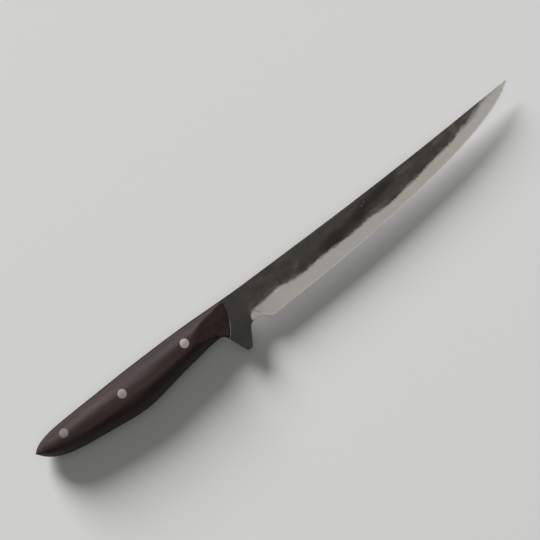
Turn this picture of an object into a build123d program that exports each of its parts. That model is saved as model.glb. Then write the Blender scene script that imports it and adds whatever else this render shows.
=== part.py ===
from build123d import *
from math import cos, radians, sin, tan
import os

# Fillet knife, full tang: one forging for blade, finger guard and tang, two wooden scales, three pins.
# It lies on its left side: +X runs to the tip, +Y to the spine, +Z up, and Z = 0 is the table.
# Distances run from the handle's front towards the tip, heights from the line of the spine.

# Overall sizes, in millimetres
blade_length = 190.8
handle_length = 127.4
handle_depth = 23.5
guard_depth = 29.9

# The forging
tang_thickness = 3.6
heel_thickness = 1.9
tip_thickness = 0.8
edge_thickness = 0.3
spine_start = 15.0
spine_straight = 58.0
spine_sweep = 3.5
nose_length = 1.0
nose_drop = 0.9
heel_distance = 17.0
heel_depth = 22.75
bevel_width = 9.1

# The guard, the seat of the finger behind it, and the notch in front of it
guard_distance = 2.6
guard_radius = 2.4
guard_front_lean = 32
guard_rear_lean = 21.9
seat_run = 4.1
seat_radius = 4.0
choil_radius = 4.0
notch_depth = 18.9
notch_width = 6.2
notch_radius = 5.0

# The plunge, where the bevel is ground out into the flat ahead of the notch
plunge_offset = 1.3
plunge_rise = 3.0
plunge_lean = 0.7

# The scales
scale_thickness = 8.2
scale_corner = 19.1
front_bow = 1.75
facet_length = 20.0
facet_height = 1.0
side_flat_depth = 0.4
tang_proud = 0.4

# The pins
pin_diameter = 5.0

# What a cutting tool runs past the work
overrun = 4.0

# The handle from the finger's seat to the butt: share of the way, shares of its depth at which its
# upper and lower lines lie, and how full the scales are there, as a share of their thickness
handle_shares = [
    (0.000, 0.036, -0.669, 1.00),
    (0.112, 0.052, -0.728, 1.00),
    (0.236, 0.053, -0.812, 1.00),
    (0.348, 0.048, -0.905, 1.00),
    (0.450, 0.040, -0.957, 1.00),
    (0.551, 0.022, -0.930, 1.00),
    (0.663, 0.005, -0.863, 1.00),
    (0.775, -0.014, -0.795, 0.99),
    (0.865, -0.040, -0.706, 0.93),
    (0.933, -0.095, -0.575, 0.78),
    (0.978, -0.185, -0.400, 0.50),
]
# The scales' last section before the beak, in the same shares, and the beak's height in the depth
butt_share = (0.994, -0.240, -0.305, 0.20)
beak_share = -0.272

# The scales from the seat to past their front, where they widen over the guard: share of the seat's
# distance, share of the handle's depth for the upper line, and of the front corner's for the lower
front_shares = [
    (-0.27, -0.005, -1.17),
    (0.18, 0.005, -1.17),
    (0.56, 0.010, -1.11),
    (0.80, 0.015, -0.96),
]

# Cutting edge from the heel to the tip: share of the way, share of the heel's depth,
# and the share of the bevel's width that the bevel has there
edge_shares = [
    (0.000, 1.000, 1.00),
    (0.134, 0.964, 0.92),
    (0.268, 0.920, 0.85),
    (0.390, 0.857, 0.79),
    (0.512, 0.762, 0.72),
    (0.634, 0.650, 0.69),
    (0.756, 0.515, 0.73),
    (0.850, 0.355, 0.76),
    (0.909, 0.226, 0.79),
    (0.960, 0.065, 0.82),
]

# Pins: share of the handle's length back from its front, and share of its depth down from the spine
pin_shares = {
    "front_pin": (0.226, 0.277),
    "middle_pin": (0.557, 0.343),
    "rear_pin": (0.848, 0.268),
}

# The knife's middle plane, with the origin under the middle of the whole knife
root_x = (handle_length - blade_length) / 2
spine_y = (guard_depth - spine_sweep) / 2
half_handle = tang_thickness / 2 + scale_thickness
side = Plane(origin=(root_x, spine_y, half_handle))
side_view = Plane(origin=side.origin, x_dir=(1, 0, 0), z_dir=(0, -1, 0))


def across(distance):
    """The plane square to the knife at a distance from the handle's front: local x is Y, local y is Z."""
    return Plane(origin=(root_x + distance, spine_y, half_handle), x_dir=(0, 1, 0), z_dir=(1, 0, 0))


def half_thickness(distance):
    """Half the blade's thickness, which thins fast from the handle to the heel, and slowly to the tip."""
    if distance < heel_distance:
        thinning = (tang_thickness - heel_thickness) * distance / heel_distance
        return (tang_thickness - thinning) / 2
    way = (distance - heel_distance) / (blade_length - heel_distance)
    return (heel_thickness - (heel_thickness - tip_thickness) * way) / 2


# The guard's round end, and where its two straight sides leave it
front_lean = radians(guard_front_lean)
rear_lean = radians(guard_rear_lean)
guard_centre = (-guard_distance, guard_radius - guard_depth)
guard_front = (
    guard_centre[0] + guard_radius * cos(front_lean),
    guard_centre[1] - guard_radius * sin(front_lean),
)
guard_rear = (
    guard_centre[0] - guard_radius * cos(rear_lean),
    guard_centre[1] - guard_radius * sin(rear_lean),
)


def on_guard_front(height):
    """The point at a height on the line of the guard's front side."""
    return (guard_front[0] + (height - guard_front[1]) * tan(front_lean), height)


def on_guard_rear(height):
    """The point at a height on the line of the guard's rear side."""
    return (guard_rear[0] - (height - guard_rear[1]) * tan(rear_lean), height)


# The notch between the guard and the heel, whose flat starts at the choil
choil = on_guard_front(-notch_depth)
notch = (choil[0] + notch_width, -notch_depth)
heel = (heel_distance, -heel_depth)
tip = (blade_length, spine_sweep - nose_drop)

# Cutting edge in real sizes: distance, height of the edge, width of the bevel
edge_length = blade_length - heel_distance
edge_stations = [
    (heel_distance + way * edge_length, -depth * heel_depth, width * bevel_width)
    for way, depth, width in edge_shares
]
tip_bevel = edge_stations[-1][2]
tip_slope = (tip[1] - edge_stations[-1][1]) / (tip[0] - edge_stations[-1][0])
edge_stations.append((*tip, tip_bevel))

# The plunge's plane runs from a line on the flat, just above the notch, down to the edge at the heel
foot = (choil[0] + plunge_offset, -notch_depth)
head = (foot[0] + plunge_lean, foot[1] + plunge_rise)
plunge_foot = side.from_local_coords((*foot, half_thickness(foot[0])))
plunge_head = side.from_local_coords((*head, half_thickness(head[0])))
plunge_end = side.from_local_coords((*heel, edge_thickness / 2))
plunge_along = plunge_head - plunge_foot
plunge = Plane(origin=plunge_foot, x_dir=plunge_along, z_dir=(plunge_end - plunge_foot).cross(plunge_along))

# The finger's seat, where the handle's lower line turns down into the guard's rear side
seat_height = handle_shares[0][2] * handle_depth
seat_corner = on_guard_rear(seat_height)
seat_start = (seat_corner[0] - seat_run, seat_height)

# The handle in real sizes: distance, height of the upper and lower lines, fullness
handle_way = handle_length + seat_start[0]
handle_stations = [
    (seat_start[0] - way * handle_way, upper * handle_depth, lower * handle_depth, fullness)
    for way, upper, lower, fullness in [*handle_shares, butt_share]
]
beak = (-handle_length, beak_share * handle_depth)
upper_line = [(distance, upper) for distance, upper, lower, fullness in handle_stations[:-1]]
lower_line = [(distance, lower) for distance, upper, lower, fullness in handle_stations[:-1]]

# Sections of the scales' outside: distance, upper and lower line, height from the middle plane.
# They are a little too high, and are cut down to the flats along the sides
form_height = half_handle + side_flat_depth
form_stations = [
    (distance, upper - tang_proud, lower + tang_proud, fullness * form_height)
    for distance, upper, lower, fullness in handle_stations
]
front_stations = [
    (share * seat_start[0], upper * handle_depth, lower * scale_corner, form_height)
    for share, upper, lower in front_shares
]
front_stations.append(form_stations[0])
scale_foot = on_guard_rear(-scale_corner)


def facet(towards):
    """The plane of one scale's facet, which slopes down squarely to the chord of the bowed front."""
    front_height = tang_thickness / 2 + facet_height
    top = side.from_local_coords((0, 0, towards * front_height))
    foot = side.from_local_coords((*scale_foot, towards * front_height))
    back = side.from_local_coords((-facet_length, 0, towards * half_handle))
    return Plane(origin=top, x_dir=foot - top, z_dir=(back - top).cross(foot - top))


pin_places = {
    name: (-distance * handle_length, -depth * handle_depth)
    for name, (distance, depth) in pin_shares.items()
}

# What the grinder takes off the right side for the bevel: all that lies outside the bevel's surface
# and ahead of the plunge
with BuildPart() as bevel_cut:
    first = (0, *edge_stations[0][1:])
    last = (tip[0] + overrun, tip[1] + tip_slope * overrun, tip_bevel)
    for distance, height, width in [first, *edge_stations, last]:
        top = half_thickness(distance)
        slope = (top - edge_thickness / 2) / width
        low = (height - overrun, edge_thickness / 2 - slope * overrun)
        high = (height + width + overrun, top + slope * overrun)
        with BuildSketch(across(distance)):
            Polygon(low, high, (low[0], high[1]), align=None)
    loft()
    split(bisect_by=plunge, keep=Keep.TOP)

# Blade, guard and tang: the outline first, from the spine round the butt, the guard and the edge
with BuildPart() as blade:
    with BuildSketch(side.offset(-tang_thickness / 2)):
        with BuildLine():
            back = Spline(
                (spine_start, 0),
                *upper_line,
                beak,
                tangents=((-1, 0), (-1, -1)),
                tangent_scalars=(1, 1),
            )
            Spline(
                back @ 1,
                *reversed(lower_line),
                tangents=((1, -1), (1, 0)),
                tangent_scalars=(1, 1),
            )
            FilletPolyline(seat_start, seat_corner, guard_rear, radius=seat_radius)
            ThreePointArc(guard_rear, (guard_centre[0], -guard_depth), guard_front)
            FilletPolyline(guard_front, choil, notch, heel, radius=(choil_radius, notch_radius))
            Spline(*[(distance, height) for distance, height, width in edge_stations])
            spine = Line((spine_start, 0), (spine_straight, 0))
            sweep = TangentArc(spine @ 1, (blade_length - nose_length, spine_sweep), tangent=spine % 1)
            TangentArc(sweep @ 1, tip, tangent=sweep % 1)
        make_face()
    extrude(amount=tang_thickness)

    # Both sides thin out towards the tip
    with BuildSketch(side_view):
        past_tip = blade_length + overrun
        surface = [(distance, half_thickness(distance)) for distance in (0, heel_distance, past_tip)]
        Polygon(*surface, (past_tip, tang_thickness / 2), align=None)
        mirror(about=Plane.XZ)
    extrude(amount=guard_depth + overrun, both=True, mode=Mode.SUBTRACT)

    add(bevel_cut.part, mode=Mode.SUBTRACT)
    mirror(bevel_cut.part, about=side, mode=Mode.SUBTRACT)

    with BuildSketch(side):
        with Locations(*pin_places.values()):
            Circle(pin_diameter / 2)
    extrude(amount=tang_thickness, both=True, mode=Mode.SUBTRACT)

# The outside of the wooden handle, before it is cut into its two scales
with BuildPart() as handle_form:
    for stations, straight in ((front_stations, True), (form_stations, False)):
        for distance, upper, lower, height in stations:
            with BuildSketch(across(distance)):
                with Locations(((upper + lower) / 2, 0)):
                    Ellipse((upper - lower) / 2, height)
        loft(ruled=straight)

    # Its outline is cut to the guard's rear side and the finger's seat, and to the bowed front
    with BuildSketch(side):
        with BuildLine():
            seat_end = (guard_rear[0] + tang_proud, guard_rear[1])
            seat_top = (seat_corner[0] + tang_proud, seat_corner[1] + tang_proud)
            seat_back = (seat_start[0], seat_top[1])
            FilletPolyline(seat_back, seat_top, seat_end, radius=seat_radius + tang_proud)
            Polyline(seat_end, (seat_back[0], seat_end[1]), seat_back)
        make_face()
        with BuildLine():
            SagittaArc((0, 0), scale_foot, front_bow)
            far = (spine_start + overrun, -guard_depth)
            Polyline(scale_foot, (scale_foot[0], far[1]), far, (far[0], overrun), (0, overrun), (0, 0))
        make_face()
    extrude(amount=form_height + overrun, both=True, mode=Mode.SUBTRACT)

    # The flat facets that slope down to the blade, and the flats along both sides
    for towards, kept in ((1, Keep.BOTTOM), (-1, Keep.TOP)):
        split(bisect_by=facet(towards), keep=kept)
        split(bisect_by=side.offset(towards * half_handle), keep=kept)

os.makedirs("parts", exist_ok=True)
blade.part.label = "blade"
export_step(blade.part, "parts/blade.step")

# The two scales, one on each side of the tang
for name, towards, kept in (("right_scale", 1, Keep.TOP), ("left_scale", -1, Keep.BOTTOM)):
    with BuildPart() as scale:
        add(handle_form.part)
        split(bisect_by=side.offset(towards * tang_thickness / 2), keep=kept)
        with BuildSketch(side):
            with Locations(*pin_places.values()):
                Circle(pin_diameter / 2)
        extrude(amount=half_handle, both=True, mode=Mode.SUBTRACT)
    scale.part.label = name
    export_step(scale.part, f"parts/{name}.step")

# The pins run right through, and their ends are ground flush with the scales
for name, place in pin_places.items():
    with BuildPart() as pin:
        with BuildSketch(side):
            with Locations(place):
                Circle(pin_diameter / 2)
        extrude(amount=half_handle, both=True)
        add(handle_form.part, mode=Mode.INTERSECT)
    pin.part.label = name
    export_step(pin.part, f"parts/{name}.step")
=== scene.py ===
from math import cos, hypot, radians, sin
import bmesh
import bpy
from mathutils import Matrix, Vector


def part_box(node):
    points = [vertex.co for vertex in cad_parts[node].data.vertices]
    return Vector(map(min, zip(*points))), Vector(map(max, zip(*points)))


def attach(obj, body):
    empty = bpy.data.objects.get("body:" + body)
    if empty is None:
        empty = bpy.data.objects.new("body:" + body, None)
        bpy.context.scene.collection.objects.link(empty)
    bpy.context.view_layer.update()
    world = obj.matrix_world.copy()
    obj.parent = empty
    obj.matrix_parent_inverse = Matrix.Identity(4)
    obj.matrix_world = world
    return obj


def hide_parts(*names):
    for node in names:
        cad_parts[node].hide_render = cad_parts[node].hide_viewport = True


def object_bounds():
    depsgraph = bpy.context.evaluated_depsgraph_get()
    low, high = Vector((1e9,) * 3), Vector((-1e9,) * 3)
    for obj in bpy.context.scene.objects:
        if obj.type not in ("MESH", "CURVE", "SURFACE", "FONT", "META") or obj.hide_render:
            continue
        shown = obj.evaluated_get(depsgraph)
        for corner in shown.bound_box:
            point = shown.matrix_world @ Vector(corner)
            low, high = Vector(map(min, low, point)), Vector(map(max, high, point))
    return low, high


# The knife's looks: forged steel with a ground bevel, two scales of dark wood and three steel pins.
# Everything is in metres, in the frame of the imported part: +X to the tip, +Y to the spine, +Z up.
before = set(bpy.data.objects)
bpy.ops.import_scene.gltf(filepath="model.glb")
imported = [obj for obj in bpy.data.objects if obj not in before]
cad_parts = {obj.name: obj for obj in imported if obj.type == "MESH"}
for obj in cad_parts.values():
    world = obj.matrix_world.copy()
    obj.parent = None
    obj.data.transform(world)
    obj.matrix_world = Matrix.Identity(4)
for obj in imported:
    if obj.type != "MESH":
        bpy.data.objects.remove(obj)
cad_low, cad_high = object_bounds()

MM = 0.001

# Places that the pieces, the finishes and the light are measured from
blade_low, blade_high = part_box("blade")
wood_low, wood_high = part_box("right_scale")
tip_rise = 3.5 * MM
front = wood_high.x
middle = (cad_low.z + cad_high.z) / 2
spine = blade_high.y - tip_rise
tang_top = wood_low.z
tang_bottom = 2 * middle - tang_top
pins = {name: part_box(name) for name in ("front_pin", "middle_pin", "rear_pin")}
pin_radius = (pins["front_pin"][1].x - pins["front_pin"][0].x) / 2

# Sizes and angles of the modelling steps
weld = 0.001 * MM
overlap = 0.2 * MM
rod_length = 1.5 * (cad_high.z - cad_low.z)
voxel = 0.45 * MM
flank_height = 4.5 * MM
drill_radius = pin_radius + 0.03 * MM
broken_edge = 0.2 * MM
keen_height = 0.2 * MM
hole_reach = pin_radius + 0.1 * MM
grid_spacing = 2 * MM
flat_angle = radians(0.1)
corner_angle = radians(40)
smooth_angle = radians(35)
crease_angle = radians(3.3)


def pin_centre(name):
    low, high = pins[name]
    return (low + high) / 2


# Shader maths

class Value:
    """A number that a shader works out, with Python's own operators."""

    def __init__(self, network, socket):
        self.network = network
        self.socket = socket

    def maths(self, operation, *others, clamp=False):
        settings = dict(operation=operation, use_clamp=clamp)
        return self.network.node("ShaderNodeMath", settings, dict(enumerate((self, *others))))

    def __add__(self, other):
        return self.maths("ADD", other)

    def __sub__(self, other):
        return self.maths("SUBTRACT", other)

    def __rsub__(self, other):
        return self.maths("MULTIPLY", -1.0) + other

    def __mul__(self, other):
        return self.maths("MULTIPLY", other)

    def __truediv__(self, other):
        return self.maths("DIVIDE", other)

    def __abs__(self):
        return self.maths("ABSOLUTE")

    __radd__ = __add__
    __rmul__ = __mul__

    def limited(self):
        """The value, held between 0 and 1."""
        return self.maths("ADD", 0.0, clamp=True)

    def step(self, start, end):
        """0 up to start, 1 from end on, and a smooth rise between them; start may be the higher one."""
        settings = dict(interpolation_type="SMOOTHSTEP")
        values = {"Value": self, "From Min": start, "From Max": end}
        return self.network.node("ShaderNodeMapRange", settings, values)


class Network:
    """The nodes of a material or of the room, made one by one."""

    def __init__(self, tree):
        self.tree = tree

    def node(self, kind, settings=None, values=None, output=0):
        """Any node: its settings first, then the values or links of its sockets."""
        made = self.tree.nodes.new(kind)
        for key, value in (settings or {}).items():
            if key == "stops":
                self.set_stops(made.color_ramp, value)
            elif key == "points":
                self.set_points(made.mapping, value)
            else:
                setattr(made, key, value)
        for key, value in (values or {}).items():
            self.feed(made.inputs[key], value)
        return Value(self, made.outputs[output])

    def feed(self, socket, value):
        """Links a value to a socket, or sets the socket to it."""
        if isinstance(value, Value):
            self.tree.links.new(value.socket, socket)
        elif isinstance(value, tuple) and socket.type == "RGBA":
            socket.default_value = (*value, 1.0)
        else:
            socket.default_value = value

    def set_stops(self, ramp, stops):
        while len(ramp.elements) < len(stops):
            ramp.elements.new(1.0)
        for element, (position, colour) in zip(ramp.elements, stops):
            element.position = position
            element.color = (*colour, 1.0)

    def set_points(self, mapping, points):
        line = mapping.curves[0].points
        while len(line) < len(points):
            line.new(1.0, 1.0)
        for point, place in zip(line, points):
            point.location = place
        mapping.update()

    def axes(self, place):
        """The three coordinates of a place."""
        return [self.node("ShaderNodeSeparateXYZ", values={0: place}, output=axis) for axis in range(3)]

    def joined(self, x, y, z):
        """A place from its three coordinates."""
        return self.node("ShaderNodeCombineXYZ", values={0: x, 1: y, 2: z})

    def distance(self, x, y):
        """How far a place is from one that it lies x and y from, seen square to the knife's side."""
        away = self.joined(x, y, 0.0)
        return self.node("ShaderNodeVectorMath", dict(operation="LENGTH"), {0: away}, output="Value")


class Finish(Network):
    """A material, with its lengths in millimetres on the piece."""

    def __init__(self, name):
        self.material = bpy.data.materials.new(name)
        self.material.use_nodes = True
        super().__init__(self.material.node_tree)
        self.shader = self.tree.nodes["Principled BSDF"]
        from_origin = self.node("ShaderNodeTexCoord", output="Object")
        self.place = self.node(
            "ShaderNodeVectorMath", dict(operation="SCALE"), {0: from_origin, "Scale": 1 / MM}
        )

    def stretched(self, x, y, z):
        """The place with each axis divided by a length, so that a pattern is that long there."""
        return self.node("ShaderNodeVectorMath", dict(operation="DIVIDE"), {0: self.place, 1: (x, y, z)})

    def noise(self, place, detail=3.0, roughness=0.5, seed=0.0):
        """Soft noise, from about 0.2 to 0.8."""
        values = {"Vector": place, "W": seed, "Scale": 1.0, "Detail": detail, "Roughness": roughness}
        return self.node("ShaderNodeTexNoise", dict(noise_dimensions="4D"), values)

    def mark(self, place, x, y, length, depth, turn=0.0):
        """1 in the middle of an oval, fading to 0 at its rim. Length and depth are half sizes."""
        values = {
            "Vector": place,
            "Location": (x, y, 0),
            "Rotation": (0, 0, radians(turn)),
            "Scale": (length, depth, 1000),
        }
        inside = self.node("ShaderNodeMapping", dict(vector_type="TEXTURE"), values)
        away = self.node("ShaderNodeVectorMath", dict(operation="LENGTH"), {0: inside}, output="Value")
        return away.step(1.0, 0.2)

    def mix(self, share, first, second):
        """A colour between two, by a share."""
        return self.node(
            "ShaderNodeMix", dict(data_type="RGBA"), {0: share, 6: first, 7: second}, output=2
        )

    def between(self, share, first, second):
        """A number between two, by a share."""
        return self.node("ShaderNodeMix", values={0: share, 2: first, 3: second})

    def bump(self, height, depth):
        """A normal for a height from 0 to 1 that is a depth in millimetres."""
        values = {"Height": height, "Distance": depth * MM, "Strength": 1.0}
        return self.node("ShaderNodeBump", values=values)

    def set(self, **sockets):
        """Sets or links sockets of the material's shader."""
        for name, value in sockets.items():
            self.feed(self.shader.inputs[name.replace("_", " ")], value)


# Modelling steps

def alone(piece):
    """Makes one piece the only one selected."""
    for other in bpy.context.selected_objects:
        other.select_set(False)
    piece.select_set(True)
    bpy.context.view_layer.objects.active = piece


def edit(piece, everything=True, kind="FACE"):
    """Opens a piece for editing, with all of it selected or nothing."""
    alone(piece)
    bpy.ops.object.mode_set(mode="EDIT")
    bpy.ops.mesh.select_mode(type=kind)
    bpy.ops.mesh.select_all(action="SELECT" if everything else "DESELECT")


def done():
    """Closes the piece that is open for editing."""
    bpy.ops.object.mode_set(mode="OBJECT")


def modify(piece, kind, **settings):
    """Adds a modifier and applies it."""
    alone(piece)
    added = piece.modifiers.new(kind.lower(), kind)
    for key, value in settings.items():
        setattr(added, key, value)
    bpy.ops.object.modifier_apply(modifier=added.name)


def twin(piece, name):
    """A second piece with its own copy of a mesh."""
    made = bpy.data.objects.new(name, piece.data.copy())
    bpy.context.scene.collection.objects.link(made)
    return made


def copy_of(node, name):
    """A copy of a CAD node's mesh, with its loose triangles merged."""
    piece = twin(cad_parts[node], name)
    piece.data.materials.clear()
    alone(piece)
    bpy.ops.mesh.customdata_custom_splitnormals_clear()
    edit(piece)
    bpy.ops.mesh.remove_doubles(threshold=weld)
    done()
    return piece


def rod(radius, centre):
    """A round rod through the handle, square to the knife's side."""
    bpy.ops.mesh.primitive_cylinder_add(
        vertices=96, radius=radius, depth=rod_length, location=(centre.x, centre.y, middle)
    )
    return bpy.context.object


def soften(piece):
    """Shades a piece smooth, but for its sharp edges."""
    alone(piece)
    bpy.ops.object.shade_smooth_by_angle(angle=smooth_angle)


# The handle is shaped as one blank, with its pins in and its creases sanded soft

def half_blank(node, towards):
    """One scale's form, carried on past its face on the tang, a little over the middle plane."""
    half = copy_of(node, node + "_form")
    tang_side = tang_top if towards > 0 else tang_bottom
    edit(half, everything=False)
    mesh = bmesh.from_edit_mesh(half.data)
    for face in mesh.faces:
        inward = face.normal.z * towards < -0.999
        face.select = inward and abs(face.calc_center_median().z - tang_side) < 10 * weld
    bmesh.update_edit_mesh(half.data)
    reach = (tang_top - tang_bottom) / 2 + overlap
    bpy.ops.mesh.extrude_region_move(TRANSFORM_OT_translate=dict(value=(0, 0, -towards * reach)))
    done()
    return half


def make_blank():
    """Both scales and the pins as one piece, whose creases away from the tang are rounded over."""
    blank = half_blank("right_scale", 1)
    others = [half_blank("left_scale", -1)] + [copy_of(pin, pin + "_plug") for pin in pins]
    alone(blank)
    for other in others:
        other.select_set(True)
    bpy.ops.object.join()
    modify(blank, "REMESH", mode="VOXEL", voxel_size=voxel)
    modify(blank, "SMOOTH", factor=0.5, iterations=6)

    edit(blank, everything=False, kind="VERT")
    mesh = bmesh.from_edit_mesh(blank.data)
    for corner in mesh.verts:
        corner.select = abs(corner.co.z - middle) > flank_height
    bmesh.update_edit_mesh(blank.data)
    bpy.ops.mesh.vertices_smooth(factor=0.5, repeat=26)
    done()
    return blank


def make_scale(blank, name, towards):
    """One side of the blank, cut off at the tang and drilled for the pins."""
    wood = twin(blank, name)
    tang_side = tang_top if towards > 0 else tang_bottom
    edit(wood, kind="EDGE")
    bpy.ops.mesh.bisect(
        plane_co=(0, 0, tang_side), plane_no=(0, 0, towards), clear_inner=True, threshold=weld
    )
    bpy.ops.mesh.edge_face_add()
    done()
    for pin in pins:
        drill = rod(drill_radius, pin_centre(pin))
        modify(wood, "BOOLEAN", operation="DIFFERENCE", object=drill, solver="EXACT")
        bpy.data.objects.remove(drill)
    soften(wood)
    return wood


def make_pin(blank, pin):
    """A pin with its ends ground flush with the blank."""
    steel = rod(pin_radius, pin_centre(pin))
    steel.name = pin + "_steel"
    alone(steel)
    bpy.ops.object.transform_apply(location=True, rotation=True, scale=True)
    modify(steel, "BOOLEAN", operation="INTERSECT", object=blank, solver="EXACT")
    soften(steel)
    return steel


handle_blank = make_blank()
right_wood = make_scale(handle_blank, "right_scale_wood", 1)
left_wood = make_scale(handle_blank, "left_scale_wood", -1)
pin_pieces = {pin: make_pin(handle_blank, pin) for pin in pins}
bpy.data.objects.remove(handle_blank)


# The forging, with its edges broken but for the cutting edge and the pin holes

def make_forging():
    """Blade, guard and tang, with a broken edge all round and crisp creases."""
    steel = copy_of("blade", "forged_blade")
    edit(steel)
    bpy.ops.mesh.dissolve_limited(angle_limit=flat_angle)
    bpy.ops.mesh.select_mode(type="EDGE")
    bpy.ops.mesh.select_all(action="DESELECT")
    bpy.ops.mesh.edges_select_sharp(sharpness=corner_angle)
    mesh = bmesh.from_edit_mesh(steel.data)
    for edge in mesh.edges:
        ends = [end.co for end in edge.verts]
        keen = all(abs(end.z - middle) < keen_height for end in ends)
        drilled = any((end.xy - pin_centre(pin).xy).length < hole_reach for pin in pins for end in ends)
        if keen or drilled:
            edge.select = False
    bmesh.update_edit_mesh(steel.data)
    bpy.ops.mesh.bevel(offset=broken_edge, segments=2, affect="EDGES", clamp_overlap=False)

    # A grid of cuts keeps the shading of the long flats even
    bpy.ops.mesh.select_mode(type="FACE")
    bpy.ops.mesh.select_all(action="SELECT")
    bpy.ops.mesh.quads_convert_to_tris(quad_method="BEAUTY", ngon_method="BEAUTY")
    for axis, direction in ((0, (1, 0, 0)), (1, (0, 1, 0))):
        count = int((blade_high[axis] - blade_low[axis]) / grid_spacing)
        for number in range(1, count):
            place = [0, 0, 0]
            place[axis] = blade_low[axis] + number * grid_spacing
            bpy.ops.mesh.select_all(action="SELECT")
            bpy.ops.mesh.bisect(plane_co=place, plane_no=direction)
    done()
    soften(steel)

    # The creases of the bevel and the plunge stay crisp, shallow as they are
    edit(steel, everything=False, kind="EDGE")
    mesh = bmesh.from_edit_mesh(steel.data)
    for edge in mesh.edges:
        flats = [face for face in edge.link_faces if abs(face.normal.z) > 0.95]
        edge.select = len(flats) == 2 and edge.calc_face_angle() > crease_angle
    bmesh.update_edit_mesh(steel.data)
    bpy.ops.mesh.mark_sharp()
    done()
    modify(steel, "WEIGHTED_NORMAL", weight=80, keep_sharp=True)
    return steel


forging = make_forging()


# Finishes

def wood_finish():
    """Dark red-brown hardwood, rubbed with oil: fine streaks and pores along the handle."""
    made = Finish("dark_wood_finish")
    x, y, z = made.axes(made.place)
    figure = made.noise(made.stretched(55, 5.0, 5.0), detail=4, roughness=0.6)
    streaks = made.noise(made.stretched(38, 0.9, 0.9), detail=5, roughness=0.65, seed=3)
    pores = made.noise(made.stretched(3.5, 0.17, 0.17), detail=2, roughness=0.5, seed=7)
    tone = (figure * 1.1 + streaks * 0.8 - 0.45).limited()
    colour = made.node(
        "ShaderNodeValToRGB",
        dict(
            stops=[
                (0.25, (0.0125, 0.0062, 0.0052)),
                (0.45, (0.0225, 0.0118, 0.0098)),
                (0.60, (0.0320, 0.0180, 0.0150)),
                (0.80, (0.0450, 0.0265, 0.0220)),
            ]
        ),
        {0: tone},
    )
    open_pore = pores.step(0.60, 0.68)
    colour = made.mix(open_pore * 0.5, colour, (0.008, 0.004, 0.0035))

    # Painted shade: the wood behind the finger's seat is darkened, standing for the narrower highlight over
    # the sharper crest there
    painted_shade_behind_seat = made.mark(made.place, front / MM - 44.0, spine / MM - 3.9, 38.0, 3.6)
    colour = made.mix(painted_shade_behind_seat * 0.6, colour, (0.006, 0.0035, 0.003))

    # A dark ring of glue round each pin, and one pale fleck beside the finger's seat
    rim = pin_radius / MM
    for pin in pins:
        centre = pin_centre(pin) / MM
        ring = made.distance(x - centre.x, y - centre.y).step(rim + 0.35, rim + 0.1)
        colour = made.mix(ring * 0.8, colour, (0.004, 0.003, 0.003))
    fleck = made.mark(made.place, front / MM - 18.3, spine / MM - 12.0, 0.8, 0.6)
    colour = made.mix(fleck * 0.8, colour, (0.10, 0.075, 0.07))

    made.set(
        Base_Color=colour,
        Roughness=streaks * 0.15 + 0.56 + open_pore * 0.1,
        Normal=made.bump(streaks * 0.5 - open_pore, 0.015),
        Specular_IOR_Level=0.25,
        Sheen_Weight=0.07,
        Sheen_Roughness=0.35,
    )
    return made.material


# The upper line of the ground bevel, in millimetres from the handle's front and from the spine
grind_line = [
    (7.0, -20.0), (7.6, -16.0), (9.0, -15.0), (12.0, -13.8), (18.0, -13.6), (24.0, -12.9),
    (27.5, -12.5), (33.0, -13.4), (43.5, -14.3), (50.0, -13.7), (62.0, -13.1), (74.0, -13.2),
    (82.0, -12.7), (91.0, -12.0), (97.5, -12.4), (104.0, -12.2), (109.0, -11.6), (113.5, -10.8),
    (122.0, -9.9), (132.5, -7.9), (142.0, -6.6), (150.0, -5.4), (154.0, -4.0), (161.0, -2.6),
    (166.0, -1.2), (170.5, 0.4), (174.0, 1.8), (180.0, 3.2),
]

# Marks of the fire and the grinder on the flats, in the same millimetres:
# place, half length, half depth, turn in degrees, share and colour
soot = (0.016, 0.013, 0.011)
rust = (0.034, 0.022, 0.018)
haze = (0.120, 0.098, 0.078)
ash = (0.085, 0.082, 0.068)
fire_marks = [
    (67, -9.8, 19, 5.4, 6, 0.95, soot),
    (88, -6.9, 17, 5.2, 14, 1.00, soot),
    (104, -3.3, 15, 4.0, 9, 0.90, soot),
    (45, -11.5, 5, 3.5, 0, 0.60, soot),
    (18, -6.0, 6, 3.0, 10, 0.55, rust),
    (122, -6.5, 7, 2.6, 12, 0.60, rust),
    (36, -10.0, 6, 3.5, 0, 0.45, rust),
    (92, -11.4, 13, 2.4, 8, 0.55, haze),
    (36, -12.2, 6, 1.6, -10, 0.45, haze),
    (43, -9.0, 4, 1.2, 45, 0.35, haze),
    (11, -12.2, 4, 2.4, 35, 0.40, ash),
    (119, -2.0, 9, 2.6, 5, 0.55, ash),
    (143, -0.6, 8, 2.6, 8, 0.60, ash),
    (153.5, -1.0, 4, 5.5, 20, 0.55, haze),
    (164, 0.5, 9, 2.4, 8, 0.50, haze),
    (137, -4.5, 10, 2.2, 15, 0.40, rust),
]

# The bowed front of the scales, in the same millimetres: its foot on the guard, and how far it bows out
joint_foot = (-8.2, -19.1)
joint_bow = 1.75


def joint_circle():
    """Centre and radius of the circle that the scales' front lies on, from the handle's front."""
    chord = hypot(*joint_foot)
    radius = (chord ** 2 / 4 + joint_bow ** 2) / (2 * joint_bow)
    outward = (-joint_foot[1] / chord, joint_foot[0] / chord)
    back = radius - joint_bow
    return joint_foot[0] / 2 - outward[0] * back, joint_foot[1] / 2 - outward[1] * back, radius


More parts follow.
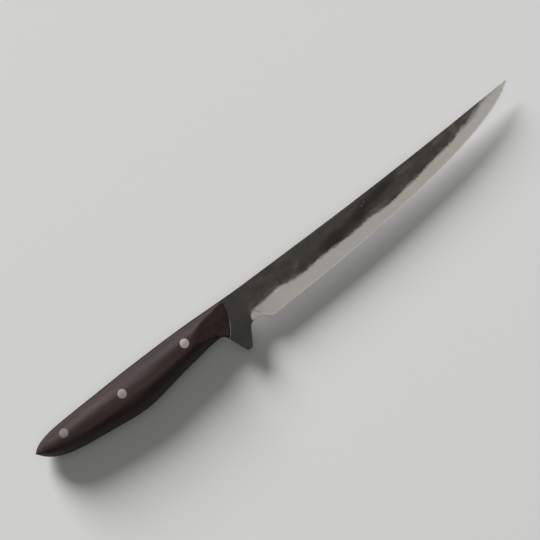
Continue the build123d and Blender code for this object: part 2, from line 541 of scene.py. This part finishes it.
def steel_finish():
    """Black forge scale on the flats and the guard, and a satin bevel ground through it."""
    made = Finish("forged_steel_finish")
    x, y, z = made.axes(made.place)
    x = x - front / MM
    y = y - spine / MM
    height = z - middle / MM
    place = made.joined(x, y, z)

    # Long fine scratches, aslant as the grinding belt ran, which also fray the bevel's upper line
    along = x * 0.55 - y * 0.83
    across = x * 0.83 + y * 0.55
    scratches = made.noise(made.joined(along / 6.0, across / 0.16, z / 3.0), detail=3, roughness=0.6, seed=5)
    frays = made.noise(made.joined(along / 3.5, across / 0.5, z / 3.0), detail=3, roughness=0.55, seed=6)
    ragged = made.noise(made.stretched(2.2, 1.6, 3.0), detail=4, seed=8)

    # The line is a curve over the blade's length, from 25 mm under the spine to 5 mm above it
    reach = 190.8
    drop = 25.0
    span = 30.0
    shares = [(way / reach, (level + drop) / span) for way, level in grind_line]
    line = made.node(
        "ShaderNodeFloatCurve", dict(points=[(0.0, 0.0), *shares, (1.0, 1.0)]), {"Value": x / reach}
    )
    above = y - (line * span - drop) + (ragged - 0.5) * 1.1 + (frays - 0.5) * 1.6
    clouds = made.noise(made.stretched(5.0, 3.5, 3.0), detail=4, roughness=0.6, seed=14)
    softness = clouds.step(0.40, 0.65) * 0.6 + x.step(148.0, 168.0) * 1.2 + 0.6
    ground = (above / softness).step(1.0, -1.0) * x.step(6.6, 7.2)

    # The scale: dark grey, browner in patches and marked by the fire
    wobble = made.noise(made.stretched(6, 4, 3), detail=3, seed=12)
    sway = made.noise(made.stretched(6, 4, 3), detail=3, seed=13)
    marked = made.joined(x + (wobble - 0.5) * 9.0, y + (sway - 0.5) * 3.5, z)
    patches = made.noise(made.stretched(9, 6, 4), detail=4, roughness=0.6, seed=2)
    smoke = made.noise(made.stretched(7, 5, 4), detail=4, roughness=0.6, seed=16)
    grain = made.noise(made.stretched(1.6, 1.2, 1.2), detail=5, roughness=0.65, seed=1)
    skin = made.mix(patches.step(0.40, 0.60), (0.038, 0.040, 0.030), (0.051, 0.041, 0.034))
    skin = made.mix(clouds.step(0.45, 0.72) * 0.6, skin, (0.066, 0.062, 0.051))
    skin = made.mix(smoke.step(0.52, 0.70) * 0.6, skin, (0.024, 0.021, 0.018))
    beside_line = above.step(4.0, 0.5) * smoke.step(0.58, 0.42)
    skin = made.mix(beside_line * 0.45, skin, haze)
    for mark_x, mark_y, length, depth, turn, share, colour in fire_marks:
        mark = made.mark(marked, mark_x, mark_y, length, depth, turn)
        skin = made.mix(mark * (share * (1 - ground)), skin, colour)
    plain = x.step(11.0, 5.0)
    low_guard = y.step(-8.0, -24.0)
    skin = made.mix(plain * 0.8, skin, made.mix(low_guard, (0.034, 0.033, 0.029), (0.021, 0.022, 0.020)))
    skin = made.mix(grain.step(0.35, 0.75) * 0.35, skin, (0.022, 0.021, 0.018))

    # Two small pits in the scale, painted bright for a glint of reflected light, and a painted highlight
    # along the foot of the wood's front: a line of bare steel coloured bright for the glint on its edge
    glint_steel = (0.24, 0.21, 0.20)
    for pit_x, pit_y, size in ((89.8, -4.3, 0.75), (91.8, -3.5, 0.6)):
        skin = made.mix(made.mark(place, pit_x, pit_y, size, size) * 0.45, skin, (0.16, 0.14, 0.12))
    centre_x, centre_y, radius = joint_circle()
    beside = made.distance(x - centre_x, y - centre_y) - radius
    # Painted highlight: a bright line on the steel along the lower part of the wood's front
    front_glint = beside.step(0.34, 0.16) * beside.step(-0.8, -0.2) * y.step(-9.5, -13.5) * y.step(-20.0, -19.0)
    skin = made.mix(front_glint * 0.8, skin, glint_steel)

    # The tang's rim was ground with the wood: dull steel, darker in places
    rim = abs(height).step(1.80, 1.72) * x.step(-0.5, -4.0)
    dull = made.mix(clouds.step(0.35, 0.65), (0.105, 0.096, 0.088), (0.165, 0.152, 0.140))
    skin = made.mix(rim, skin, dull)

    # The ground steel: satin, a little darker at the plunge, with a painted highlight along the honed edge:
    # a beaded bright line for its glint, where the steel is also a little smoother
    cloud = made.noise(made.stretched(25, 8, 8), detail=2, seed=11)
    bright = made.mix(cloud, (0.47, 0.445, 0.41), (0.55, 0.525, 0.485))
    bright = made.mix(scratches.step(0.45, 0.8) * 0.35, bright, (0.36, 0.34, 0.31))
    bright = made.mix(x.step(30.0, 9.0) * 0.35, bright, (0.36, 0.34, 0.32))
    beads = made.noise(made.stretched(0.8, 0.8, 0.8), detail=2, seed=15)
    honed_glint = abs(height).step(0.19, 0.165) * beads.step(0.35, 0.60)
    bright = made.mix(honed_glint * 0.7, bright, (0.75, 0.73, 0.69))

    # Painted shade and a painted highlight along the fold that the grinder left from the plunge down to the
    # heel: a dark band in it and a bright line on its ridge, with the plunge side tinted pink
    past_fold = (x - 11.1) * 0.783 + (y + 15.5) * 0.622
    bright = made.mix(past_fold.step(0.0, -0.4) * 0.5, bright, (0.50, 0.44, 0.42))
    fold_shade = past_fold.step(-0.3, 0.1) * past_fold.step(1.4, 0.3) * y.step(-21.5, -17.0)
    bright = made.mix(fold_shade * 0.55, bright, (0.24, 0.225, 0.205))
    ridge_highlight = past_fold.step(0.1, 0.4) * past_fold.step(0.8, 0.5) * y.step(-16.5, -18.5)
    bright = made.mix(ridge_highlight * 0.6, bright, (0.72, 0.69, 0.65))

    shine = (ground + front_glint * 0.7 + rim * 0.6).limited()
    relief = grain * (1 - ground) * 0.6 + clouds * (1 - ground) * 0.8 + scratches * ground * 0.10
    made.set(
        Base_Color=made.mix(ground, skin, bright),
        Metallic=shine * 0.95,
        Roughness=made.between(shine, grain * 0.2 + 0.52, scratches * 0.18 + 0.28 - honed_glint * 0.06),
        Normal=made.bump(relief, 0.10),
        Specular_IOR_Level=0.15,
    )
    return made.material


def pin_finish():
    """Satin steel, ground flush with the wood, with painted shade that darkens it towards the butt."""
    made = Finish("pin_finish")
    # Painted light and shade: the pins are coloured lighter towards the front and darker towards the butt
    lit_towards_front = made.axes(made.place)[0].step(-150.0, -70.0)
    scratches = made.noise(made.stretched(3.0, 0.12, 2.0), detail=4, seed=4)
    cloud = made.noise(made.stretched(1.5, 1.5, 4.0), detail=3, seed=10)
    made.set(
        Base_Color=made.mix(lit_towards_front + (cloud - 0.5) * 0.35, (0.19, 0.177, 0.158), (0.40, 0.372, 0.334)),
        Metallic=1.0,
        Roughness=scratches * 0.15 + 0.75,
        Normal=made.bump(scratches, 0.003),
    )
    return made.material


def dress(piece, material, node):
    """Gives a piece its finish, and puts it in the place of its plain CAD node."""
    piece.data.materials.clear()
    piece.data.materials.append(material)
    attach(piece, "root")
    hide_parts(node)


wood = wood_finish()
dress(right_wood, wood, "right_scale")
dress(left_wood, wood, "left_scale")
dress(forging, steel_finish(), "blade")
pin_steel = pin_finish()
for pin, piece in pin_pieces.items():
    dress(piece, pin_steel, pin)


# Floor, light and camera

floor_size = 12
bpy.ops.mesh.primitive_plane_add(size=floor_size, location=(0, 0, 0))
floor = bpy.context.object
floor.name = "floor"
floor_finish = Finish("floor_finish")
floor_finish.set(Base_Color=(0.66, 0.66, 0.65), Roughness=0.9, Specular_IOR_Level=0.0)
floor.data.materials.append(floor_finish.material)

# The room: dim round the horizon, with a broad soft light overhead that the bare metal shows
world = bpy.data.worlds.new("studio")
world.use_nodes = True
room = Network(world.node_tree)
upward = room.axes(room.node("ShaderNodeTexCoord", output="Generated"))[2]
background = room.tree.nodes["Background"].inputs
room.feed(background["Color"], (1.0, 1.0, 1.0))
room.feed(background["Strength"], upward.step(0.86, 0.98) * 0.80 + 0.10)
bpy.context.scene.world = world


def aim(thing, place, target):
    """Puts a thing in a place, turned to a target."""
    thing.location = place
    thing.rotation_euler = (Vector(target) - Vector(place)).to_track_quat("-Z", "Y").to_euler()


lamp = bpy.data.lights.new("key", "AREA")
lamp.shape = "DISK"
lamp.size = 5.8
lamp.energy = 2530
key = bpy.data.objects.new("key", lamp)
bpy.context.scene.collection.objects.link(key)
elevation = radians(25)
key_distance = 12
aim(key, (0, key_distance * cos(elevation), key_distance * sin(elevation)), (0, 0, middle))

camera_data = bpy.data.cameras.new("camera")
camera = bpy.data.objects.new("camera", camera_data)
bpy.context.scene.collection.objects.link(camera)
view_distance = 1600 * MM
view_width = 286.2 * MM
view_centre = (-1.25 * MM, 10.63 * MM)
view_turn = radians(-36.8)
camera_data.lens = camera_data.sensor_width * view_distance / view_width
camera.location = (*view_centre, middle + view_distance)
camera.rotation_euler = (0, 0, view_turn)
bpy.context.scene.camera = camera
bpy.context.scene.view_settings.view_transform = "Standard"
